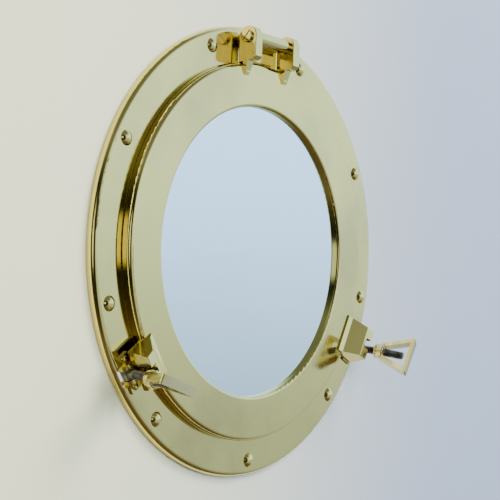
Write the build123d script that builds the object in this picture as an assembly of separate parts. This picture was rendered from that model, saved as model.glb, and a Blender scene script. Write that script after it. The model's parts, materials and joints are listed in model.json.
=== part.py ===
"""Opening porthole mirror: a wall flange, a top-hinged door with a mirror, and two swing-bolt dogs.

Every piece is drawn in the face frame: x right, y up and z out of the wall, with the wall plane
at z = 0. save() stands it up into the part's frame, where +Z is up and -Y is out of the wall.
A fitting at an angle round the porthole is drawn on the +x radius and turned into place.
"""
import math
import os

from build123d import *

# ---- flange, bolted flat to the wall
FLANGE_RADIUS = 152.4
FLANGE_FACE = 5.75
FLANGE_PLATE = 3.0
FLANGE_EDGE_ROLL = 4.0
FLANGE_BORE = 110.0
FLANGE_LIP = 3.0

# ---- fixing studs, dome heads in front and threaded shanks behind
STUD_CIRCLE = 141.9
STUD_ANGLES = [69.6, 110.4, 154.1, 196.2, 231.3, 273.2, 315.6, 349.4, 27.9]
STUD_HEAD_RADIUS = 4.9
STUD_HEAD_HEIGHT = 2.7
STUD_RADIUS = 2.5
STUD_NECK_RADIUS = 3.2
STUD_NECK_END = 0.3
STUD_REACH = 20.0
STUD_POINT = 0.8

# ---- door ring and what it holds
DOOR_RADIUS = 127.8
DOOR_FACE = 12.8
DOOR_BACK = 6.05
DOOR_PLATE = 3.0
DOOR_EDGE_ROLL = 3.2
SIGHT_RADIUS = 98.0
SIGHT_ROLL = 2.0
CELL_RADIUS = 107.0
CELL_BORE = 103.4
CELL_BACK = 1.9
MIRROR_FACE = 8.9
MIRROR_RADIUS = 103.0
MIRROR_THICKNESS = 3.0
FELT_THICKNESS = 1.0
BOARD_THICKNESS = 2.0
RETAINER_BORE = 96.0
RETAINER_THICKNESS = 1.4
RETAINER_SCREWS = 8
RETAINER_SCREW_CIRCLE = 105.2
RETAINER_SCREW_RADIUS = 0.8
RETAINER_SCREW_HEAD = 1.5
RETAINER_SCREW_LENGTH = 5.0
GASKET_INNER = 113.5
GASKET_OUTER = 119.5
GASKET_GAP = 0.25

# ---- hinge at the top
HINGE_Y = 142.8
HINGE_Z = 15.8
ARM_INNER = 17.5
ARM_WIDTH = 7.5
ARM_END_RADIUS = 7.2
ARM_TOE = 117.5
KNUCKLE_RADIUS = 4.8
KNUCKLE_HALF = 16.5
KNUCKLE_FOOT_HALF = 13.5
KNUCKLE_FOOT_HEIGHT = 3.0
KNUCKLE_WEB_HALF = 4.6
KNUCKLE_SCREW_HALF = 8.0
HINGE_PIN_RADIUS = 2.75
HINGE_HEAD_RADIUS = 4.4
HINGE_HEAD_HEIGHT = 2.0
HINGE_WASHER = 0.8
HINGE_NUT_RADIUS = 4.6
HINGE_NUT_HEIGHT = 3.2
HINGE_SLOT_TURN = -40

# ---- dogs: swing bolts on the flange, forked lugs on the door
DOG_ANGLES = {"left": 215.0, "right": -26.4}
DOG_LEANS = {"left": 10.0, "right": 17.0}
LOOP_TURNS = {"left": -53.0, "right": 82.0}
DOG_PIVOT = 142.0
DOG_PIVOT_Z = 5.0
DOG_EYE_RADIUS = 4.5
DOG_EYE_HALF = 3.5
DOG_PIN_RADIUS = 1.8
DOG_ROD_RADIUS = 3.0
DOG_ROD_END = 43.0
NUT_SEAT = 21.2
WASHER_RADIUS = 5.2
WASHER_THICKNESS = 1.1
HUB_RADIUS = 5.6
HUB_HEIGHT = 5.6
LOOP_FOOT = 3.2
LOOP_END = 49.0
LOOP_HALF = 15.2
LOOP_STRAP = 6.0
LOOP_BAR = 2.8
NOTCH_HALF = 7.0
NOTCH_INNER = 134.9
NOTCH_OUTER = 150.0
EAR_THICKNESS = 3.0
EAR_RADIUS = 4.6
EAR_BASE = 0.8
BRACKET_FOOT = 6.2
BRACKET_WEB = 2.0
FOOT_THICKNESS = 1.5
LUG_TIP = 140.1
LUG_CREST = 132.8
LUG_SLOT_END = 134.6
LUG_SLOT_HALF = 3.9
LUG_BACK = 10.2
LUG_FRONT = 24.0
LUG_TILT = 8.0
LUG_TOE = 119.5
LUG_BASE_HALF = 14.5
LUG_TOP_HALF = 10.8
LUG_RIVET_HALF = 8.0
EDGE_SOFTENING = 0.7

# ---- rivets, screws and fits
RIVET_RADIUS = 1.5
RIVET_HEAD_RADIUS = 2.2
RIVET_HEAD_HEIGHT = 1.2
RIVET_CIRCLE = 122.3
SNUG = 0.02
RUNNING = 0.05
FACE = Plane(origin=(0, 0, 0), x_dir=(1, 0, 0), z_dir=(0, -1, 0))


def save(node, *solids):
    """Write the solids of one node, stood up from the face frame."""
    pieces = [FACE * solid for solid in solids]
    whole = pieces[0] if len(pieces) == 1 else Compound(children=pieces)
    export_step(whole, f"parts/{node}.step")


def lathe(*corners):
    """Face turned about the porthole's axis from (radius, height) corners."""
    return Plane.XZ * make_face(Polyline(*corners, close=True))


def turn(profile):
    return revolve(profile, axis=Axis.Z)


def rounded(profile, radius, *corners):
    """Round the profile's corners that lie at the given (radius, height) points."""
    picked = [min(profile.vertices(), key=lambda v: math.dist((v.X, v.Z), point)) for point in corners]
    return fillet(picked, radius)


def rod(radius, low, high, x=0.0, y=0.0):
    """Round bar along z from low to high."""
    return Pos(x, y, (low + high) / 2) * Cylinder(radius, high - low)


def slab(x, y, z):
    """Block from (low, high) pairs along each axis."""
    centre = [(low + high) / 2 for low, high in (x, y, z)]
    return Pos(*centre) * Box(x[1] - x[0], y[1] - y[0], z[1] - z[0])


def tube(outer, inner, low, high):
    return rod(outer, low, high) - rod(inner, low - 1, high + 1)


def across(radius, low, high, x, z):
    """Round bar along y from low to high."""
    return Pos(x, (low + high) / 2, z) * Rot(90, 0, 0) * Cylinder(radius, high - low)


def dome(radius, height, x=0.0, y=0.0, z=0.0):
    """Spherical cap standing on height z."""
    ball = (radius ** 2 + height ** 2) / (2 * height)
    cap = Pos(0, 0, height - ball) * Sphere(ball)
    keep = Pos(0, 0, height / 2) * Box(2 * ball, 2 * ball, height)
    return Pos(x, y, z) * (cap & keep)


def at_angle(angle, piece):
    return Rot(0, 0, angle) * piece


def side_plate(outline, low, high):
    """Plate cut to (x, z) points of its side view, from y = low to y = high."""
    face = Plane.XZ * make_face(Polyline(*outline, close=True))
    return Pos(0, high, 0) * extrude(face, high - low)


def stud(angle):
    """Fixing stud: dome head on the flange face, neck in the plate, threaded shank through the wall."""
    shank = rod(STUD_RADIUS, -STUD_REACH, FLANGE_FACE)
    shank = chamfer(shank.edges().group_by(Axis.Z)[0], STUD_POINT)
    neck = rod(STUD_NECK_RADIUS, STUD_NECK_END, FLANGE_FACE)
    head = dome(STUD_HEAD_RADIUS, STUD_HEAD_HEIGHT, z=FLANGE_FACE)
    return at_angle(angle, Pos(STUD_CIRCLE, 0, 0) * (shank + neck + head))


def flange_ring():
    """Plate with a rolled outer skirt, an inner lip, stud holes and a notch for each dog."""
    back = FLANGE_FACE - FLANGE_PLATE
    skirt = FLANGE_RADIUS - FLANGE_LIP
    lip = FLANGE_BORE + FLANGE_LIP
    outer = (FLANGE_RADIUS, FLANGE_FACE)
    profile = lathe((FLANGE_BORE, 0), (lip, 0), (lip, back), (skirt, back), (skirt, 0),
                    (FLANGE_RADIUS, 0), outer, (FLANGE_BORE, FLANGE_FACE))
    profile = rounded(profile, FLANGE_EDGE_ROLL, outer)
    profile = rounded(profile, FLANGE_EDGE_ROLL - FLANGE_PLATE, (skirt, back))
    profile = rounded(profile, 0.8, (FLANGE_BORE, FLANGE_FACE))
    ring = turn(profile)
    for angle in STUD_ANGLES:
        ring -= at_angle(angle, rod(STUD_NECK_RADIUS + SNUG, -1, FLANGE_FACE + 1, x=STUD_CIRCLE))
    for angle in DOG_ANGLES.values():
        notch = slab((NOTCH_INNER, NOTCH_OUTER), (-NOTCH_HALF, NOTCH_HALF), (-1, FLANGE_FACE + 1))
        ring -= at_angle(angle, fillet(notch.edges().filter_by(Axis.Z), 0.5))
        for side in (-1, 1):
            ring -= at_angle(angle, bracket_rivet(side, SNUG))
    for screw in knuckle_screws(SNUG):
        ring -= screw
    return ring


def door_ring():
    """Ring with a rolled rim, a rounded sight edge and a cell behind that holds the mirror."""
    plate = DOOR_FACE - DOOR_PLATE
    wall = DOOR_RADIUS - DOOR_PLATE
    rim = (DOOR_RADIUS, DOOR_FACE)
    sight = (SIGHT_RADIUS, DOOR_FACE)
    profile = lathe((SIGHT_RADIUS, MIRROR_FACE), sight, rim, (DOOR_RADIUS, DOOR_BACK), (wall, DOOR_BACK),
                    (wall, plate), (CELL_RADIUS, plate), (CELL_RADIUS, CELL_BACK),
                    (CELL_BORE, CELL_BACK), (CELL_BORE, MIRROR_FACE))
    profile = rounded(profile, DOOR_EDGE_ROLL, rim)
    profile = rounded(profile, SIGHT_ROLL, sight)
    profile = rounded(profile, 0.6, (DOOR_RADIUS, DOOR_BACK))
    return turn(profile)


def retaining_screw(angle, gap=0.0):
    """Countersunk screw through the retaining ring into the cell wall."""
    low = CELL_BACK - RETAINER_THICKNESS
    depth = RETAINER_SCREW_HEAD - RETAINER_SCREW_RADIUS
    head = Cone(RETAINER_SCREW_HEAD + gap, RETAINER_SCREW_RADIUS + gap, depth)
    shank = rod(RETAINER_SCREW_RADIUS + gap, low + depth, low + RETAINER_SCREW_LENGTH + gap)
    screw = Pos(0, 0, low + depth / 2) * head + shank
    return at_angle(angle, Pos(RETAINER_SCREW_CIRCLE, 0, 0) * screw)


def screw_slot(angle):
    """Driver slot across one retaining screw's head."""
    low = CELL_BACK - RETAINER_THICKNESS
    cut = slab((-2, 2), (-0.2, 0.2), (low - 1, low + 0.35))
    return at_angle(angle, Pos(RETAINER_SCREW_CIRCLE, 0, 0) * cut)


def retainer_angles():
    return [(index + 0.5) * 360 / RETAINER_SCREWS for index in range(RETAINER_SCREWS)]


def write_mirror_stack(ring):
    """Door ring, mirror, felt, board, retaining ring and its screws, front to back."""
    for angle in retainer_angles():
        ring -= retaining_screw(angle, RUNNING)
    for angle, half in rivet_places():
        for side in (-1, 1):
            ring -= at_angle(angle, plate_rivet(side * half, SNUG))
    save("door_ring", ring)
    back = MIRROR_FACE - MIRROR_THICKNESS
    pane = rod(MIRROR_RADIUS, back, MIRROR_FACE)
    save("mirror_pane", chamfer(pane.edges(), 0.4))
    save("mirror_felt", rod(MIRROR_RADIUS - 0.3, back - FELT_THICKNESS, back))
    board = back - FELT_THICKNESS
    save("backing_board", rod(MIRROR_RADIUS - 0.2, board - BOARD_THICKNESS, board))
    retainer = tube(CELL_RADIUS, RETAINER_BORE, CELL_BACK - RETAINER_THICKNESS, CELL_BACK)
    retainer += tube(CELL_BORE - 0.3, CELL_BORE - 3.3, CELL_BACK, board - BOARD_THICKNESS)
    for angle in retainer_angles():
        retainer -= retaining_screw(angle, RUNNING)
    save("retaining_ring", retainer)
    screws = [retaining_screw(angle) - screw_slot(angle) for angle in retainer_angles()]
    save("retaining_screws", *screws)
    gasket = tube(GASKET_OUTER, GASKET_INNER, FLANGE_FACE + GASKET_GAP, DOOR_FACE - DOOR_PLATE)
    save("door_gasket", gasket)


def rivet_places():
    """Angle and half spacing of the rivet pairs that hold the lugs and the hinge arms."""
    arm = math.degrees(math.atan2(ARM_INNER + ARM_WIDTH / 2, RIVET_CIRCLE))
    places = [(angle, LUG_RIVET_HALF) for angle in DOG_ANGLES.values()]
    return places + [(90 + arm, 0.0), (90 - arm, 0.0)]


def plate_rivet(offset, gap=0.0):
    """Rivet from behind the door plate into the toe of a lug or an arm."""
    plate = DOOR_FACE - DOOR_PLATE
    head = rod(RIVET_HEAD_RADIUS + gap, plate - RIVET_HEAD_HEIGHT, plate, x=RIVET_CIRCLE, y=offset)
    shank = rod(RIVET_RADIUS + gap, plate - 0.1, DOOR_FACE + 1.6 + gap, x=RIVET_CIRCLE, y=offset)
    return head + shank


def hinge_arm(side, door):
    """Door-side hinge leaf: a bar with a round eye at the pin and a toe tapering down the door face."""
    low = HINGE_Z - ARM_END_RADIUS
    high = HINGE_Z + ARM_END_RADIUS
    outline = [(DOOR_RADIUS - 1.4, DOOR_FACE - 0.6), (DOOR_RADIUS - 0.6, high - 2.5),
               (DOOR_RADIUS + 1.6, high), (HINGE_Y, high), (HINGE_Y, low), (DOOR_RADIUS - 2.4, low)]
    middle = side * (ARM_INNER + ARM_WIDTH / 2)
    inner = middle - ARM_WIDTH / 2
    outer = middle + ARM_WIDTH / 2
    bar = side_plate(outline, inner, outer) + across(ARM_END_RADIUS, inner, outer, HINGE_Y, HINGE_Z)
    bar += hinge_toe(middle)
    bar -= across(HINGE_PIN_RADIUS + SNUG, inner - 1, outer + 1, HINGE_Y, HINGE_Z)
    front = bar.edges().filter_by(GeomType.CIRCLE).filter_by(lambda e: e.radius > ARM_END_RADIUS - 0.1)
    bar = fillet(front, EDGE_SOFTENING)
    return Rot(0, 0, 90) * bar - door


def hinge_toe(middle):
    """Thin tapering toe of one hinge arm, from the rim down the door face to a blunt tip."""
    side_view = [(ARM_TOE, DOOR_FACE - 0.6), (ARM_TOE, DOOR_FACE + 0.9), (DOOR_RADIUS, DOOR_FACE + 3.6),
                 (DOOR_RADIUS, DOOR_FACE - 0.6)]
    wide = ARM_WIDTH / 2
    tip = ARM_WIDTH / 4
    plan = [(ARM_TOE - 1, middle - tip), (DOOR_RADIUS, middle - wide), (DOOR_RADIUS, middle + wide),
            (ARM_TOE - 1, middle + tip)]
    wedge = side_plate(side_view, middle - wide, middle + wide)
    return wedge & extrude(make_face(Polyline(*plan, close=True)), 40)


def write_hinge(door):
    """Two arms on the door, the knuckle on the flange, and the pin with its nut and washers."""
    arms = {"left": hinge_arm(1, door), "right": hinge_arm(-1, door)}
    arm_angle = rivet_places()[2][0] - 90
    for name, turn_by in (("left", arm_angle), ("right", -arm_angle)):
        save(f"hinge_arm_{name}", arms[name] - at_angle(90 + turn_by, plate_rivet(0.0, SNUG)))
    save("arm_rivets", *[at_angle(90 + turn_by, plate_rivet(0.0)) for turn_by in (arm_angle, -arm_angle)])
    save("hinge_knuckle", knuckle())
    save("knuckle_screws", *knuckle_screws())
    save("hinge_pin", hinge_pin())
    save("hinge_pin_nut", hinge_pin_nut())
    gap = (ARM_INNER - KNUCKLE_HALF - HINGE_WASHER) / 2
    washers = []
    for side in (-1, 1):
        near = side * (KNUCKLE_HALF + gap)
        far = side * (KNUCKLE_HALF + gap + HINGE_WASHER)
        ends = sorted((near, far))
        ring = across(KNUCKLE_RADIUS, *ends, HINGE_Y, HINGE_Z)
        ring -= across(HINGE_PIN_RADIUS + RUNNING, ends[0] - 1, ends[1] + 1, HINGE_Y, HINGE_Z)
        washers.append(Rot(0, 0, 90) * ring)
    save("hinge_washers", *washers)


def knuckle():
    """Flange-side hinge leaf: a foot screwed to the flange and a web up to the round barrel."""
    foot_top = FLANGE_FACE + KNUCKLE_FOOT_HEIGHT
    near = HINGE_Y - KNUCKLE_WEB_HALF
    far = HINGE_Y + KNUCKLE_WEB_HALF
    web = [(near, foot_top - 1), (far, foot_top - 1), (far, HINGE_Z), (near, HINGE_Z)]
    body = side_plate(web, -KNUCKLE_FOOT_HALF, KNUCKLE_FOOT_HALF)
    foot = slab((DOOR_RADIUS + 1.4, HINGE_Y + 5.7), (-KNUCKLE_FOOT_HALF, KNUCKLE_FOOT_HALF),
                (FLANGE_FACE, foot_top))
    foot = fillet(foot.edges().filter_by(Axis.Z), 1.5)
    body += foot
    body += across(KNUCKLE_RADIUS, -KNUCKLE_HALF, KNUCKLE_HALF, HINGE_Y, HINGE_Z)
    body -= across(HINGE_PIN_RADIUS + RUNNING, -30, 30, HINGE_Y, HINGE_Z)
    body = Rot(0, 0, 90) * body
    for screw in knuckle_screws(SNUG):
        body -= screw
    return body


def knuckle_screws(gap=0.0):
    """Two cheese-head screws from behind the flange plate up into the knuckle."""
    back = FLANGE_FACE - FLANGE_PLATE
    screws = []
    for x in (-KNUCKLE_SCREW_HALF, KNUCKLE_SCREW_HALF):
        shank = rod(1.5 + gap, back - 0.1, FLANGE_FACE + 6.0 + gap, x=x, y=HINGE_Y)
        head = rod(2.9 + gap, back - 1.6, back, x=x, y=HINGE_Y)
        cut = slab((x - 4, x + 4), (HINGE_Y - 0.35, HINGE_Y + 0.35), (back - 3, back - 1.0))
        screws.append(shank + head - cut)
    return screws


def hinge_pin():
    """Round pin with a slotted cheese head on the left and a threaded end on the right."""
    outer = ARM_INNER + ARM_WIDTH
    head = across(HINGE_HEAD_RADIUS, outer, outer + HINGE_HEAD_HEIGHT, HINGE_Y, HINGE_Z)
    head = fillet(head.edges().sort_by(Axis.Y)[-1], 0.6)
    shank = across(HINGE_PIN_RADIUS, -outer - 4.2, outer + 0.1, HINGE_Y, HINGE_Z)
    shank = chamfer(shank.edges().sort_by(Axis.Y)[0], 0.5)
    slot = slab((-6, 6), (outer + HINGE_HEAD_HEIGHT - 0.9, outer + HINGE_HEAD_HEIGHT + 1), (-0.5, 0.5))
    slot = Pos(HINGE_Y, 0, HINGE_Z) * Rot(0, HINGE_SLOT_TURN, 0) * slot
    return Rot(0, 0, 90) * (head + shank - slot)


def hinge_pin_nut():
    """Hexagon nut on the pin's right-hand end."""
    outer = ARM_INNER + ARM_WIDTH
    hexagon = extrude(RegularPolygon(HINGE_NUT_RADIUS, 6), HINGE_NUT_HEIGHT)
    blank = Cylinder(HINGE_NUT_RADIUS, HINGE_NUT_HEIGHT)
    hexagon &= Pos(0, 0, HINGE_NUT_HEIGHT / 2) * chamfer(blank.edges().filter_by(GeomType.CIRCLE), 0.5)
    nut = Pos(HINGE_Y, -outer - HINGE_NUT_HEIGHT, HINGE_Z) * Rot(-90, 0, 0) * hexagon
    nut -= across(HINGE_PIN_RADIUS + SNUG, -outer - 5, -outer + 1, HINGE_Y, HINGE_Z)
    return Rot(0, 0, 90) * nut


def bracket():
    """Dog bracket: two round-topped ears in the notch, a web behind them and a riveted foot each side."""
    ear = NOTCH_HALF - 0.2
    inner = ear - EAR_THICKNESS
    foot_top = FLANGE_FACE + FOOT_THICKNESS
    along = (DOG_PIVOT - EAR_RADIUS, DOG_PIVOT + EAR_RADIUS)
    body = None
    for side in (-1, 1):
        ends = sorted((side * inner, side * ear))
        plate = across(EAR_RADIUS, *ends, DOG_PIVOT, DOG_PIVOT_Z)
        plate += slab(along, ends, (EAR_BASE, DOG_PIVOT_Z))
        reach = sorted((side * inner, side * (ear + BRACKET_FOOT)))
        plate += slab(along, reach, (FLANGE_FACE, foot_top))
        body = plate if body is None else body + plate
    web = NOTCH_INNER + 0.2
    deep = (EAR_BASE, FLANGE_FACE - 0.4)
    body += slab((web, web + BRACKET_WEB), (-ear, ear), deep)
    body += slab((web, along[0] + 0.6), (-ear, -inner), deep)
    body += slab((web, along[0] + 0.6), (inner, ear), deep)
    body -= across(DOG_PIN_RADIUS + SNUG, -ear - 1, ear + 1, DOG_PIVOT, DOG_PIVOT_Z)
    for side in (-1, 1):
        body -= bracket_rivet(side, SNUG)
    return body


def bracket_rivet(side, gap=0.0):
    """Dome-head rivet through one foot of a dog bracket and the flange plate."""
    y = side * (NOTCH_HALF + 3.2)
    top = FLANGE_FACE + FOOT_THICKNESS
    shank = rod(RIVET_RADIUS + gap, FLANGE_FACE - FLANGE_PLATE - gap, top + 0.1, x=DOG_PIVOT, y=y)
    if gap:
        return shank
    return shank + dome(2.5, 1.3, x=DOG_PIVOT, y=y, z=top)


def lug(door):
    """Forked door lug: a wedge rising from a toe on the door face, with an open slot at its tip.

    Its front face is square to the swing bolt when that leans in to clamp the door.
    """
    tip_front = LUG_FRONT + (LUG_TIP - LUG_CREST) * math.tan(math.radians(LUG_TILT))
    knee = (RIVET_CIRCLE + 0.5, DOOR_FACE + 2.6)
    side_view = [(LUG_TOE, DOOR_FACE - 0.6), (LUG_TOE, DOOR_FACE + 1.2), knee, (LUG_CREST, LUG_FRONT),
                 (LUG_TIP, tip_front), (LUG_TIP, LUG_BACK), (DOOR_RADIUS - 2.4, LUG_BACK)]
    block = side_plate(side_view, -LUG_BASE_HALF, LUG_BASE_HALF)
    end_view = [(-LUG_BASE_HALF, LUG_BACK - 1), (LUG_BASE_HALF, LUG_BACK - 1), (LUG_BASE_HALF, DOOR_FACE),
                (LUG_TOP_HALF, tip_front + 1), (-LUG_TOP_HALF, tip_front + 1), (-LUG_BASE_HALF, DOOR_FACE)]
    block &= extrude(Plane.YZ * make_face(Polyline(*end_view, close=True)), 200)
    front = block.faces().sort_by(Axis.Z)[-1]
    block = fillet(front.edges(), EDGE_SOFTENING)
    slot = slab((LUG_SLOT_END, LUG_TIP + 5), (-LUG_SLOT_HALF, LUG_SLOT_HALF), (0, 40))
    slot = fillet(slot.edges().filter_by(Axis.Z).group_by(Axis.X)[0], 0.8)
    return block - slot - door


def leaned(name, piece):
    """Put a piece drawn upright on a dog's pivot at the origin into that dog's resting place."""
    on_radius = Pos(DOG_PIVOT, 0, DOG_PIVOT_Z) * Rot(0, DOG_LEANS[name], 0) * piece
    return at_angle(DOG_ANGLES[name], on_radius)


def swing_bolt():
    """Eye bolt: flat-sided eye on the pivot pin, threaded rod up through the lug's slot."""
    eye = across(DOG_EYE_RADIUS, -DOG_EYE_HALF, DOG_EYE_HALF, 0, 0)
    eye = chamfer(eye.edges().filter_by(GeomType.CIRCLE), 0.4)
    shaft = chamfer(rod(DOG_ROD_RADIUS, 0, DOG_ROD_END).edges().group_by(Axis.Z)[-1], 0.8)
    bolt = eye + shaft
    return bolt - across(DOG_PIN_RADIUS + RUNNING, -10, 10, 0, 0)


def loop_nut():
    """Hub with a triangular strap loop for the fingers; the loop lies in the x-z plane."""
    hub_low = NUT_SEAT + WASHER_THICKNESS + 0.1
    hub_high = hub_low + HUB_HEIGHT
    foot = hub_low + LOOP_FOOT
    lean = (LOOP_HALF - HUB_RADIUS - 0.4) / (LOOP_END - foot)
    outer = [(-HUB_RADIUS - 0.4, foot), (HUB_RADIUS + 0.4, foot), (LOOP_HALF, LOOP_END),
             (-LOOP_HALF, LOOP_END)]
    leg = LOOP_BAR * math.sqrt(1 + lean ** 2)
    low = hub_high + 0.6
    high = LOOP_END - LOOP_BAR
    low_half = HUB_RADIUS + 0.4 + lean * (low - foot) - leg
    high_half = HUB_RADIUS + 0.4 + lean * (high - foot) - leg
    window = [(-low_half, low), (low_half, low), (high_half, high), (-high_half, high)]
    half = LOOP_STRAP / 2
    loop = side_plate(outer, -half, half)
    loop = fillet(loop.edges().filter_by(Axis.Y).group_by(Axis.Z)[-1], 1.2)
    loop -= side_plate(window, -10, 10)
    hub = rod(HUB_RADIUS, hub_low, hub_high)
    hub = fillet(hub.edges().group_by(Axis.Z)[-1], 1.2)
    hub = chamfer(hub.edges().group_by(Axis.Z)[0], 0.5)
    nut = hub + loop
    return nut - rod(DOG_ROD_RADIUS + RUNNING, hub_low - 1, low + 0.1)


def write_dogs(door):
    """Bracket, pin, bolt, washer, loop nut and lug of each dog."""
    pin_half = NOTCH_HALF - 0.25
    pin = across(DOG_PIN_RADIUS, -pin_half, pin_half, DOG_PIVOT, DOG_PIVOT_Z)
    washer = tube(WASHER_RADIUS, DOG_ROD_RADIUS + RUNNING, NUT_SEAT, NUT_SEAT + WASHER_THICKNESS)
    fork = lug(door)
    rivets = []
    lug_rivets = []
    for name, angle in DOG_ANGLES.items():
        save(f"dog_bracket_{name}", at_angle(angle, bracket()))
        save(f"dog_pivot_pin_{name}", at_angle(angle, pin))
        save(f"swing_bolt_{name}", leaned(name, swing_bolt()))
        save(f"dog_washer_{name}", leaned(name, washer))
        save(f"loop_nut_{name}", leaned(name, Rot(0, 0, LOOP_TURNS[name]) * loop_nut()))
        bare = fork
        for side in (-1, 1):
            rivets.append(at_angle(angle, bracket_rivet(side)))
            lug_rivets.append(at_angle(angle, plate_rivet(side * LUG_RIVET_HALF)))
            bare -= plate_rivet(side * LUG_RIVET_HALF, SNUG)
        save(f"dog_lug_{name}", at_angle(angle, bare))
    save("bracket_rivets", *rivets)
    save("lug_rivets", *lug_rivets)


def main():
    os.makedirs("parts", exist_ok=True)
    save("flange_ring", flange_ring())
    save("fixing_studs", *[stud(angle) for angle in STUD_ANGLES])
    door = door_ring()
    write_mirror_stack(door)
    write_hinge(door)
    write_dogs(door)


main()
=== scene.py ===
import json
import math

import bpy
from mathutils import Matrix, Vector


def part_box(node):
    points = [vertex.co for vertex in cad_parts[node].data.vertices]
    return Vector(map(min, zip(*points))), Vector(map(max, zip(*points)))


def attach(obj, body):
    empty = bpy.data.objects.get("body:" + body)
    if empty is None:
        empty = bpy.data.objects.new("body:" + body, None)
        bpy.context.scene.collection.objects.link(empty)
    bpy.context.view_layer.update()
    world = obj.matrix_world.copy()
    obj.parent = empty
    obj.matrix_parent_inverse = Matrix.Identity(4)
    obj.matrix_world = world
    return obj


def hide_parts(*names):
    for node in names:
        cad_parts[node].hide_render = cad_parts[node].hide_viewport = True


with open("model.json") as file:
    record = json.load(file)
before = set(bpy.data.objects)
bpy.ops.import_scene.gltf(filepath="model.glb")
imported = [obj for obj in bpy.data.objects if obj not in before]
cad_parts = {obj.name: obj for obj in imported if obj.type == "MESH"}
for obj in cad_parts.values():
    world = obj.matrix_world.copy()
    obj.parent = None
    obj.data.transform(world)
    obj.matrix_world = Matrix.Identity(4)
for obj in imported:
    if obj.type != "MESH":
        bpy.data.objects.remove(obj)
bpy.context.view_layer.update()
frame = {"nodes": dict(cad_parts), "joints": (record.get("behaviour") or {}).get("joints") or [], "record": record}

MM = 0.001
JOINTS = {joint["name"]: joint for joint in frame["joints"]}
MOUNTS = {mount["name"]: mount for mount in frame["record"]["mounts"]}

# ---- swing bolts: distances run from the pivot along the rod
BOLT_RADIUS = 3.0 * MM
BOLT_PITCH = 1.0 * MM
BOLT_START = 3.2 * MM
BOLT_SHANK_TOP = 7.0 * MM
BOLT_THREAD_GAP = 0.02 * MM
BOLT_END = 43.0 * MM
BOLT_TIP = 1.2 * MM
BOLT_STEPS = 8
EYE_RADIUS = 4.5 * MM
EYE_HALF = 3.5 * MM
EYE_BORE = 1.85 * MM
EYE_CHAMFER = 0.4 * MM
EYE_BORE_CHAMFER = 0.25 * MM
EYE_SIDES = 48

# ---- fixing studs: heights run out of the wall, and the reach runs into it
STUD_RADIUS = 2.5 * MM
STUD_PITCH = 0.8 * MM
STUD_REACH = 20.0 * MM
STUD_THREAD_TOP = 0.2 * MM
STUD_TIP = 0.9 * MM
STUD_STEPS = 6
STUD_NECK_RADIUS = 3.2 * MM
STUD_NECK_START = 0.3 * MM
STUD_HEAD_RADIUS = 4.9 * MM
STUD_HEAD_HEIGHT = 2.7 * MM
STUD_HEAD_EDGE = 0.15 * MM
STUD_DOME_STEPS = 10
STUD_COUNT = 9

# ---- threads and shading of turned pieces
THREAD_SHARE = 0.61
THREAD_FLANK = 1.35
THREAD_CREST = 0.15
TIP_SLOPE = 0.8
ROD_SIDES = 28
SHARP_ANGLE = math.radians(35)

# ---- edge rounding of the CAD fittings
FITTING_EDGE = 0.25 * MM
LOOP_EDGE = 0.3 * MM
BEVEL_ANGLE = math.radians(40)

# ---- wall
WALL_RADIUS = 3.0
WALL_SIDES = 96
WALL_GAP = 0.4 * MM
WALL_OVERLAP = 2.6 * MM
# painted light and shade on the wall: warm and bright on the left, cool and darker on the right
WALL_PAINTED_LIGHT_WARM = (0.98, 0.96, 0.61, 1)
WALL_PAINTED_SHADE_COOL = (0.36, 0.43, 0.58, 1)
WALL_PATCH = (0.72, 0.70, 0.74, 1)

# ---- lamps: name, place, target, width, height, watts and colour
LAMPS = (
    ("key", (1.0, -1.3, 1.3), (0, 0, 0), 0.9, 0.9, 58, (1.0, 0.98, 0.94)),
    ("window", (0.05, -1.5, 0.35), (0, 0, 0), 0.35, 0.8, 12, (0.95, 0.98, 1.0)),
    ("fill", (-1.3, -1.2, 0.7), (-0.2, 0, 0), 0.8, 0.8, 16, (1.0, 0.97, 0.88)),
)

# ---- camera
CAMERA_PLACE = Vector((-0.7501, -0.5854, -0.0421))
CAMERA_RIGHT = Vector((0.60933, -0.79182, 0.04160))
CAMERA_UP = Vector((-0.06147, 0.00513, 0.99810))
CAMERA_FORWARD = Vector((0.79053, 0.61073, 0.04555))
CAMERA_LENS = 100.31

# ---- waviness of the brass: height of one wave times the waves in a metre
WAVE_SHARE = 0.0065

# ---- materials, as linear colours
BRASS_CLEAN = (0.76, 0.64, 0.205, 1)
BRASS_DULL = (0.60, 0.49, 0.18, 1)
BRASS_BROWN = (0.26, 0.19, 0.07, 1)
LOOP_CLEAN = (0.78, 0.67, 0.31, 1)
LOOP_DULL = (0.56, 0.45, 0.17, 1)
SHEET_CLEAN = (0.66, 0.54, 0.21, 1)
OILED_CLEAN = (0.34, 0.32, 0.28, 1)
OILED_DARK = (0.13, 0.12, 0.10, 1)
PLATED_CLEAN = (0.62, 0.62, 0.60, 1)
PLATED_DARK = (0.40, 0.40, 0.38, 1)
GLASS_CLEAN = (0.80, 0.94, 1.0, 1)
GLASS_SMEAR = (0.76, 0.91, 0.99, 1)
GLASS_DUST = (0.7, 0.72, 0.72, 1)
FELT_DARK = (0.016, 0.016, 0.015, 1)
FELT_LIGHT = (0.05, 0.048, 0.044, 1)
BOARD_DARK = (0.15, 0.08, 0.035, 1)
BOARD_LIGHT = (0.30, 0.18, 0.085, 1)
BOARD_STAIN = (0.14, 0.08, 0.04, 1)
RUBBER_DARK = (0.012, 0.012, 0.012, 1)
RUBBER_BLOOM = (0.045, 0.045, 0.043, 1)

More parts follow.
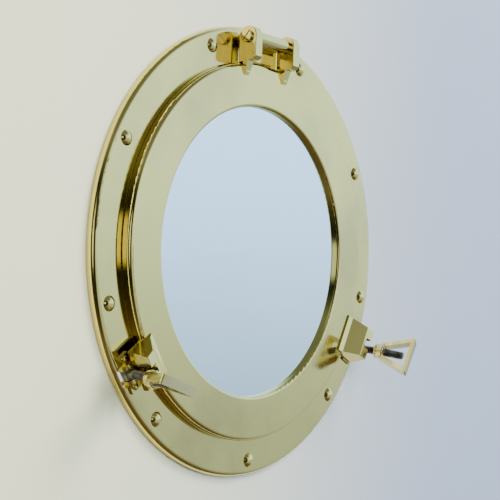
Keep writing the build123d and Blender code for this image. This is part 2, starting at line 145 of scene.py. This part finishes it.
# ---- the room, as linear colours
ROOM_HIGH = (1.35, 1.85, 2.45, 1)
ROOM_LOW = (0.62, 0.80, 1.00, 1)
ROOM_SIDE = (1.05, 1.12, 1.02, 1)
ROOM_DARK = (0.02, 0.022, 0.018, 1)
ROOM_WINDOW = (1.30, 1.36, 1.20, 1)
ROOM_FLOOR = (0.16, 0.12, 0.07, 1)
ROOM_CEILING = (0.22, 0.24, 0.22, 1)
BACKDROP = (1.10, 1.12, 1.10, 1)


# ---------------------------------------------------------------- node graphs
class Graph:
    """Short names for building one node tree, which starts empty."""

    def __init__(self, tree):
        self.tree = tree
        tree.nodes.clear()

    def add(self, kind, **settings):
        node = self.tree.nodes.new(kind)
        for name, value in settings.items():
            setattr(node, name, value)
        return node

    def link(self, source, target):
        self.tree.links.new(source, target)

    def feed(self, target, value):
        """Link a socket, or set a plain number or colour."""
        if isinstance(value, bpy.types.NodeSocket):
            self.link(value, target)
        else:
            target.default_value = value

    def math(self, operation, *values):
        node = self.add("ShaderNodeMath", operation=operation)
        for index, value in enumerate(values):
            self.feed(node.inputs[index], value)
        return node.outputs[0]

    def noise(self, vector, scale, detail=3.0, roughness=0.55):
        node = self.add("ShaderNodeTexNoise")
        self.link(vector, node.inputs["Vector"])
        node.inputs["Scale"].default_value = scale
        node.inputs["Detail"].default_value = detail
        node.inputs["Roughness"].default_value = roughness
        return node.outputs["Fac"]

    def span(self, value, low, high, to_low=0.0, to_high=1.0):
        """Map low..high to to_low..to_high with eased, clamped ends."""
        node = self.add("ShaderNodeMapRange", interpolation_type="SMOOTHSTEP")
        self.link(value, node.inputs["Value"])
        node.inputs["From Min"].default_value = low
        node.inputs["From Max"].default_value = high
        node.inputs["To Min"].default_value = to_low
        node.inputs["To Max"].default_value = to_high
        return node.outputs["Result"]

    def mix(self, share, first, second):
        """Blend two colours; a mix node's colour sockets are inputs 6 and 7 and output 2."""
        node = self.add("ShaderNodeMix", data_type="RGBA")
        self.feed(node.inputs["Factor"], share)
        self.feed(node.inputs[6], first)
        self.feed(node.inputs[7], second)
        return node.outputs[2]

    def bump(self, height, strength, distance, normal=None):
        node = self.add("ShaderNodeBump")
        node.inputs["Strength"].default_value = strength
        node.inputs["Distance"].default_value = distance
        self.link(height, node.inputs["Height"])
        if normal is not None:
            self.link(normal, node.inputs["Normal"])
        return node.outputs["Normal"]

    def place(self):
        """Object coordinates, in metres."""
        return self.add("ShaderNodeTexCoord").outputs["Object"]

    def stretched(self, vector, x, y, z):
        node = self.add("ShaderNodeMapping")
        self.link(vector, node.inputs["Vector"])
        node.inputs["Scale"].default_value = (x, y, z)
        return node.outputs["Vector"]

    def polar(self, vector, radial, turning):
        """Radius and angle about the porthole's axis, scaled, as a vector for concentric marks."""
        parts = self.add("ShaderNodeSeparateXYZ")
        self.link(vector, parts.inputs[0])
        x, y, z = parts.outputs
        squares = self.math("ADD", self.math("MULTIPLY", x, x), self.math("MULTIPLY", z, z))
        radius = self.math("SQRT", squares)
        angle = self.math("ARCTAN2", z, x)
        joined = self.add("ShaderNodeCombineXYZ")
        self.link(self.math("MULTIPLY", radius, radial), joined.inputs[0])
        self.link(self.math("MULTIPLY", angle, turning), joined.inputs[1])
        self.link(self.math("MULTIPLY", y, radial), joined.inputs[2])
        return joined.outputs[0]


def material(name):
    """New material, its graph, its principled shader and the surface socket that the shader feeds."""
    made = bpy.data.materials.new(name)
    made.use_nodes = True
    graph = Graph(made.node_tree)
    shader = graph.add("ShaderNodeBsdfPrincipled")
    surface = graph.add("ShaderNodeOutputMaterial").inputs["Surface"]
    graph.link(shader.outputs[0], surface)
    return made, graph, shader, surface


def brass(name, clean, dull, marks, rough, grain, waves=26.0):
    """Polished brass: cloudy handling marks, fine polishing lines, pinpoint tarnish and soft waviness.

    Turned pieces have rings about the porthole's axis, and filed ones have straight lines. Rough is the
    lowest and highest roughness, grain the strength of the lines and waves the waviness in waves a metre.
    """
    made, graph, shader, _ = material(name)
    place = graph.place()
    if marks == "turned":
        lines = graph.polar(place, 900.0, 2.5)
    else:
        lines = graph.stretched(place, 1500, 260, 900)
    cloud = graph.noise(place, 14.0, 4.0)
    smear = graph.noise(graph.stretched(place, 60, 90, 22), 1.0, 5.0, 0.6)
    speck = graph.noise(place, 900.0, 2.0)
    line = graph.noise(lines, 1.0, 3.0, 0.65)
    colour = graph.mix(graph.span(cloud, 0.42, 0.72), clean, dull)
    colour = graph.mix(graph.math("MULTIPLY", graph.span(speck, 0.66, 0.78), 0.5), colour, BRASS_BROWN)
    graph.link(colour, shader.inputs["Base Color"])
    shader.inputs["Metallic"].default_value = 1.0
    smeared = graph.span(smear, 0.35, 0.72, *rough)
    lined = graph.math("ADD", smeared, graph.span(line, 0.5, 0.75, 0.0, 0.07))
    graph.link(lined, shader.inputs["Roughness"])
    wave = graph.bump(graph.noise(place, waves, 2.0), 0.35, WAVE_SHARE / waves)
    fine = graph.bump(line, grain, 0.00002, wave)
    graph.link(fine, shader.inputs["Normal"])
    return made


def steel(name, clean, dark, rough):
    """Plated or oiled steel with grime clouds and fine scratches; rough is as for brass."""
    made, graph, shader, _ = material(name)
    place = graph.place()
    cloud = graph.noise(place, 120.0, 4.0)
    scratch = graph.noise(graph.stretched(place, 2200, 500, 900), 1.0, 3.0, 0.6)
    graph.link(graph.mix(graph.span(cloud, 0.38, 0.66), clean, dark), shader.inputs["Base Color"])
    shader.inputs["Metallic"].default_value = 1.0
    graph.link(graph.span(scratch, 0.3, 0.7, *rough), shader.inputs["Roughness"])
    graph.link(graph.bump(scratch, 0.4, 0.00003), shader.inputs["Normal"])
    return made


def mirror():
    """Silvered glass: near-perfect reflection under faint wiping smears and dust."""
    made, graph, shader, _ = material("mirror_glass")
    place = graph.place()
    smear = graph.noise(graph.stretched(place, 9, 9, 34), 1.0, 5.0, 0.6)
    dust = graph.noise(place, 1300.0, 1.0)
    tint = graph.mix(graph.span(smear, 0.4, 0.75), GLASS_CLEAN, GLASS_SMEAR)
    tint = graph.mix(graph.math("MULTIPLY", graph.span(dust, 0.74, 0.8), 0.25), tint, GLASS_DUST)
    graph.link(tint, shader.inputs["Base Color"])
    shader.inputs["Metallic"].default_value = 1.0
    graph.link(graph.span(smear, 0.4, 0.8, 0.012, 0.05), shader.inputs["Roughness"])
    return made


def felt():
    """Thin black felt with a fibre nap and greyer patches."""
    made, graph, shader, _ = material("black_felt")
    place = graph.place()
    fibre = graph.noise(place, 1800.0, 4.0, 0.7)
    patch = graph.noise(place, 40.0)
    graph.link(graph.mix(patch, FELT_DARK, FELT_LIGHT), shader.inputs["Base Color"])
    shader.inputs["Roughness"].default_value = 0.95
    shader.inputs["Sheen Weight"].default_value = 0.4
    graph.link(graph.bump(fibre, 0.9, 0.0003), shader.inputs["Normal"])
    return made


def hardboard():
    """Brown pressed-fibre board with flecks, stains and a pitted surface."""
    made, graph, shader, _ = material("hardboard")
    place = graph.place()
    fleck = graph.noise(graph.stretched(place, 700, 700, 260), 1.0, 5.0, 0.7)
    cloud = graph.noise(place, 22.0, 4.0)
    colour = graph.mix(graph.span(fleck, 0.35, 0.7), BOARD_DARK, BOARD_LIGHT)
    colour = graph.mix(graph.math("MULTIPLY", graph.span(cloud, 0.4, 0.7), 0.4), colour, BOARD_STAIN)
    graph.link(colour, shader.inputs["Base Color"])
    shader.inputs["Roughness"].default_value = 0.72
    cells = graph.add("ShaderNodeTexVoronoi")
    graph.link(place, cells.inputs["Vector"])
    cells.inputs["Scale"].default_value = 620.0
    pits = graph.bump(cells.outputs["Distance"], 0.5, 0.0003)
    graph.link(graph.bump(fleck, 0.4, 0.0001, pits), shader.inputs["Normal"])
    return made


def rubber():
    """Black rubber with a dusty grey bloom and a fine grain."""
    made, graph, shader, _ = material("black_rubber")
    place = graph.place()
    bloom = graph.noise(place, 60.0, 5.0)
    grain = graph.noise(place, 1500.0, 3.0)
    graph.link(graph.mix(bloom, RUBBER_DARK, RUBBER_BLOOM), shader.inputs["Base Color"])
    graph.link(graph.span(bloom, 0.3, 0.7, 0.5, 0.75), shader.inputs["Roughness"])
    graph.link(graph.bump(grain, 0.4, 0.0001), shader.inputs["Normal"])
    return made


# ---------------------------------------------------------------- meshes
def mesh_object(name, points, faces, smooth=True):
    """New object in the scene from points and faces."""
    mesh = bpy.data.meshes.new(name)
    mesh.from_pydata(points, [], faces)
    mesh.validate()
    mesh.update()
    for polygon in mesh.polygons:
        polygon.use_smooth = smooth
    made = bpy.data.objects.new(name, mesh)
    bpy.context.scene.collection.objects.link(made)
    return made


def rings_mesh(rings):
    """Points and faces of a closed skin through equal rings of points, each end closed by one face."""
    points = [point for ring in rings for point in ring]
    count = len(rings[0])
    faces = []
    for row in range(len(rings) - 1):
        for index in range(count):
            after = (index + 1) % count
            faces.append((row * count + index, row * count + after,
                          (row + 1) * count + after, (row + 1) * count + index))
    faces.append(tuple(reversed(range(count))))
    faces.append(tuple((len(rings) - 1) * count + index for index in range(count)))
    return points, faces


def circle(radius, height, sides):
    """Ring of points about z at one height."""
    turns = [math.tau * index / sides for index in range(sides)]
    return [(radius * math.cos(turn), radius * math.sin(turn), height) for turn in turns]


def thread_ring(radius, depth, pitch, height, limit):
    """One ring of a right-hand helical thread, cut down to the limit radius."""
    ring = []
    for index in range(ROD_SIDES):
        phase = (height / pitch - index / ROD_SIDES) % 1.0
        valley = 1.0 - abs(2.0 * phase - 1.0)
        valley = min(1.0, max(0.0, valley * THREAD_FLANK - THREAD_CREST))
        here = min(radius - depth * valley, limit)
        turn = math.tau * index / ROD_SIDES
        ring.append((here * math.cos(turn), here * math.sin(turn), height))
    return ring


def threaded_rings(radius, pitch, low, high, tip, steps):
    """Rings of a thread cut from low to high, fading in over one pitch and coned over tip at the end."""
    count = round((high - low) / pitch * steps)
    rings = []
    for index in range(count + 1):
        height = low + (high - low) * index / count
        depth = THREAD_SHARE * pitch * min(1.0, (height - low) / pitch)
        cone = max(0.0, (height - (high - tip)) / tip)
        rings.append(thread_ring(radius, depth, pitch, height, radius - tip * TIP_SLOPE * cone))
    return rings


def combined(name, *parts):
    """One object from several (points, faces) skins."""
    points = []
    faces = []
    for part_points, part_faces in parts:
        base = len(points)
        points += part_points
        faces += [tuple(base + index for index in face) for face in part_faces]
    return mesh_object(name, points, faces)


def lathed(profile, sides, turn):
    """Skin of (radius, height) points that close on themselves, turned about z and then placed by turn."""
    rings = [circle(radius, height, sides) for radius, height in profile]
    points = [tuple(turn @ Vector(point)) for ring in rings for point in ring]
    faces = []
    rows = len(rings)
    for row in range(rows):
        below = row * sides
        above = (row + 1) % rows * sides
        for index in range(sides):
            after = (index + 1) % sides
            faces.append((below + index, below + after, above + after, above + index))
    return points, faces


def crisp_edges(piece):
    """Mark a smooth-shaded piece's edges as sharp where its faces meet at more than the sharp angle."""
    mesh = piece.data
    sharp = mesh.attributes.get("sharp_edge") or mesh.attributes.new("sharp_edge", "BOOLEAN", "EDGE")
    sides = {}
    for polygon in mesh.polygons:
        for key in polygon.edge_keys:
            sides.setdefault(key, []).append(polygon.normal.copy())
    for edge in mesh.edges:
        found = sides.get(edge.key, [])
        flat = len(found) == 2 and found[0].angle(found[1], 0.0) < SHARP_ANGLE
        sharp.data[edge.index].value = not flat


def paint(piece, finish):
    """Give a piece its material, in a new material slot."""
    piece.data.materials.append(finish)


# ---------------------------------------------------------------- pieces
def axes(origin, z_axis, y_axis):
    """Matrix from a local frame at origin to the shared frame, with z along z_axis and y nearest y_axis."""
    z = Vector(z_axis).normalized()
    y = (Vector(y_axis) - Vector(y_axis).dot(z) * z).normalized()
    x = y.cross(z)
    turned = Matrix((x, y, z)).transposed().to_4x4()
    return Matrix.Translation(Vector(origin)) @ turned


def swing_bolt(side, finish):
    """Eye bolt with a real thread, from the eye on the pivot pin to the coned tip."""
    wide = EYE_RADIUS - EYE_CHAMFER
    mouth = EYE_BORE + EYE_BORE_CHAMFER
    side_chamfer = EYE_HALF - EYE_CHAMFER
    bore_chamfer = EYE_HALF - EYE_BORE_CHAMFER
    profile = [(mouth, -EYE_HALF), (wide, -EYE_HALF), (EYE_RADIUS, -side_chamfer), (EYE_RADIUS, side_chamfer),
               (wide, EYE_HALF), (mouth, EYE_HALF), (EYE_BORE, bore_chamfer), (EYE_BORE, -bore_chamfer)]
    eye = lathed(profile, EYE_SIDES, Matrix.Rotation(math.radians(90), 4, "X"))
    rings = [circle(BOLT_RADIUS, height, ROD_SIDES) for height in (BOLT_START, BOLT_SHANK_TOP)]
    thread_start = BOLT_SHANK_TOP + BOLT_THREAD_GAP
    rings += threaded_rings(BOLT_RADIUS, BOLT_PITCH, thread_start, BOLT_END, BOLT_TIP, BOLT_STEPS)
    bolt = combined(f"threaded_swing_bolt_{side}", eye, rings_mesh(rings))
    swing = JOINTS[f"dog_swing_{side}"]
    travel = JOINTS[f"nut_travel_{side}"]
    bolt.matrix_world = axes(swing["pos_m"], travel["axis"], swing["axis"])
    crisp_edges(bolt)
    paint(bolt, finish)
    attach(bolt, f"dog_{side}")
    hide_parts(f"swing_bolt_{side}")


def stud_rings(face):
    """Rings of a fixing stud along z, from its tip to its dome; face is the height of the flange's face."""
    shank = threaded_rings(STUD_RADIUS, STUD_PITCH, -STUD_THREAD_TOP, STUD_REACH, STUD_TIP, STUD_STEPS)
    rings = [[(x, -y, -z) for x, y, z in ring] for ring in reversed(shank)]
    steps = ((STUD_NECK_RADIUS, STUD_NECK_START), (STUD_NECK_RADIUS, face),
             (STUD_HEAD_RADIUS - STUD_HEAD_EDGE, face), (STUD_HEAD_RADIUS, face + STUD_HEAD_EDGE))
    rings += [circle(radius, height, ROD_SIDES) for radius, height in steps]
    ball = (STUD_HEAD_RADIUS ** 2 + STUD_HEAD_HEIGHT ** 2) / (2 * STUD_HEAD_HEIGHT)
    rim = math.asin(STUD_HEAD_RADIUS / ball)
    for step in range(1, STUD_DOME_STEPS):
        angle = rim * (1 - step / STUD_DOME_STEPS)
        height = face + STUD_HEAD_HEIGHT - ball * (1 - math.cos(angle))
        rings.append(circle(ball * math.sin(angle), height, ROD_SIDES))
    return rings


def fixing_studs(finish):
    """Dome-head through studs, one on each stud mount, each turned a little differently."""
    face = -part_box("flange_ring")[0].y
    points, faces = rings_mesh(stud_rings(face))
    for number in range(1, STUD_COUNT + 1):
        stud = mesh_object(f"fixing_stud_{number}", points, faces)
        x, _, z = MOUNTS[f"stud_{number}"]["pos_m"]
        stud.matrix_world = axes((x, 0, z), (0, -1, 0), (math.sin(number), 0, math.cos(number)))
        crisp_edges(stud)
        paint(stud, finish)
        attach(stud, "frame")
        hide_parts("fixing_studs")


def soften(node, width):
    """Small rounding on a CAD node's sharp edges, so that they catch the light."""
    bevel = frame["nodes"][node].modifiers.new("edge", "BEVEL")
    bevel.width = width
    bevel.segments = 2
    bevel.limit_method = "ANGLE"
    bevel.angle_limit = BEVEL_ANGLE


def finish_nodes(finishes):
    """Give each CAD node its material."""
    for node, piece in frame["nodes"].items():
        for slot in piece.material_slots:
            slot.link = "OBJECT"
            slot.material = finishes[node]


# ---------------------------------------------------------------- stage
def wall():
    """Painted wall with a round hole behind the flange, with painted light and shade: warm and bright on the left,
    cool and darker on the right.

    It is seen from the front only, so that the porthole's back shows in views from behind.
    """
    made, graph, shader, surface = material("painted_wall")
    place = graph.place()
    parts = graph.add("ShaderNodeSeparateXYZ")
    graph.link(place, parts.inputs[0])
    # painted light and shade: the wall's colour runs from warm and bright on the left to cool and darker on the
    # right
    painted_light_across = graph.span(parts.outputs[0], -0.22, 0.30)
    patch = graph.noise(place, 6.0, 4.0)
    colour = graph.mix(painted_light_across, WALL_PAINTED_LIGHT_WARM, WALL_PAINTED_SHADE_COOL)
    colour = graph.mix(graph.math("MULTIPLY", patch, 0.2), colour, WALL_PATCH)
    graph.link(colour, shader.inputs["Base Color"])
    shader.inputs["Roughness"].default_value = 0.9
    graph.link(graph.bump(graph.noise(place, 220.0, 4.0), 0.12, 0.0006), shader.inputs["Normal"])
    clear = graph.add("ShaderNodeBsdfTransparent")
    either = graph.add("ShaderNodeMixShader")
    side = graph.add("ShaderNodeNewGeometry")
    graph.link(side.outputs["Backfacing"], either.inputs[0])
    graph.link(shader.outputs[0], either.inputs[1])
    graph.link(clear.outputs[0], either.inputs[2])
    graph.link(either.outputs[0], surface)
    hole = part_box("flange_ring")[1].x - WALL_OVERLAP
    points = circle(hole, 0, WALL_SIDES) + circle(WALL_RADIUS, 0, WALL_SIDES)
    faces = []
    for index in range(WALL_SIDES):
        after = (index + 1) % WALL_SIDES
        faces.append((index, WALL_SIDES + index, WALL_SIDES + after, after))
    plane = mesh_object("wall", points, faces, smooth=False)
    plane.matrix_world = axes((0, WALL_GAP, 0), (0, -1, 0), (0, 0, 1))
    plane.data.materials.append(made)


def softbox(name, place, target, width, height, watts, colour):
    """Rectangular lamp that lights the matt surfaces and doesn't show in reflections."""
    light = bpy.data.lights.new(name, "AREA")
    light.shape = "RECTANGLE"
    light.size = width
    light.size_y = height
    light.energy = watts
    light.color = colour
    lamp = bpy.data.objects.new(name, light)
    lamp.visible_glossy = False
    lamp.location = place
    lamp.rotation_mode = "QUATERNION"
    lamp.rotation_quaternion = (Vector(target) - Vector(place)).to_track_quat("-Z", "Y")
    bpy.context.scene.collection.objects.link(lamp)


def room():
    """World light that the brass and the mirror reflect.

    Pale blue on the right and pale on the left, dark behind the viewer round one bright window, with a brown
    floor and a dim ceiling. The camera itself sees a plain pale backdrop.
    """
    world = bpy.data.worlds.new("room")
    bpy.context.scene.world = world
    world.use_nodes = True
    graph = Graph(world.node_tree)
    ray = graph.add("ShaderNodeTexCoord").outputs["Generated"]

    def facing(x, y, z):
        """Cosine between the ray and a direction."""
        node = graph.add("ShaderNodeVectorMath", operation="DOT_PRODUCT")
        graph.link(ray, node.inputs[0])
        node.inputs[1].default_value = Vector((x, y, z)).normalized()
        return node.outputs["Value"]

    colour = graph.mix(graph.span(facing(0, 0, 1), -0.12, 0.14), ROOM_LOW, ROOM_HIGH)
    colour = graph.mix(graph.span(facing(1, -0.35, 0), -0.4, 0.75), ROOM_SIDE, colour)
    colour = graph.mix(graph.span(facing(-0.79, -0.61, 0), 0.55, 0.85), colour, ROOM_DARK)
    colour = graph.mix(graph.span(facing(-0.79, -0.61, 0.05), 0.965, 0.99), colour, ROOM_WINDOW)
    colour = graph.mix(graph.span(facing(0, 0, -1), 0.25, 0.8), colour, ROOM_FLOOR)
    colour = graph.mix(graph.span(facing(-0.1, -0.4, 1), 0.6, 0.92), colour, ROOM_CEILING)
    seen = graph.add("ShaderNodeLightPath").outputs["Is Camera Ray"]
    colour = graph.mix(seen, colour, BACKDROP)
    sky = graph.add("ShaderNodeBackground")
    graph.link(colour, sky.inputs["Color"])
    output = graph.add("ShaderNodeOutputWorld")
    graph.link(sky.outputs[0], output.inputs["Surface"])


def camera():
    """View from the left of the porthole, a little below its centre, looking to the right."""
    data = bpy.data.cameras.new("camera")
    data.lens = CAMERA_LENS
    data.sensor_width = 36.0
    data.dof.use_dof = False
    view = bpy.data.objects.new("camera", data)
    turned = Matrix((CAMERA_RIGHT, CAMERA_UP, -CAMERA_FORWARD)).transposed().to_4x4()
    view.matrix_world = Matrix.Translation(CAMERA_PLACE) @ turned
    bpy.context.scene.collection.objects.link(view)
    bpy.context.scene.camera = view


# ---------------------------------------------------------------- the porthole
turned_brass = brass("turned_brass", BRASS_CLEAN, BRASS_DULL, "turned", rough=(0.06, 0.17), grain=0.10)
cast_brass = brass("cast_brass", BRASS_CLEAN, BRASS_DULL, "filed", rough=(0.08, 0.20), grain=0.14, waves=110)
loop_brass = brass("loop_brass", LOOP_CLEAN, LOOP_DULL, "filed", rough=(0.08, 0.24), grain=0.2, waves=150)
sheet_brass = brass("sheet_brass", SHEET_CLEAN, BRASS_DULL, "filed", rough=(0.2, 0.4), grain=0.2)
oiled_steel = steel("oiled_steel", OILED_CLEAN, OILED_DARK, rough=(0.25, 0.45))
plated_steel = steel("plated_steel", PLATED_CLEAN, PLATED_DARK, rough=(0.2, 0.42))
by_slot = {
    "brass": cast_brass, "sheet_brass": sheet_brass, "bolt_metal": oiled_steel, "steel": plated_steel,
    "mirror": mirror(), "felt": felt(), "board": hardboard(), "rubber": rubber(),
}
finishes = {part["node"]: by_slot[part["material_slot"]] for part in frame["record"]["subparts"]}
finishes.update({"flange_ring": turned_brass, "door_ring": turned_brass})
finishes.update({"loop_nut_left": loop_brass, "loop_nut_right": loop_brass})
finish_nodes(finishes)
for side in ("left", "right"):
    swing_bolt(side, oiled_steel)
    soften(f"dog_bracket_{side}", FITTING_EDGE)
    soften(f"hinge_arm_{side}", FITTING_EDGE)
    soften(f"loop_nut_{side}", LOOP_EDGE)
fixing_studs(cast_brass)

wall()
for lamp in LAMPS:
    softbox(*lamp)
room()
camera()
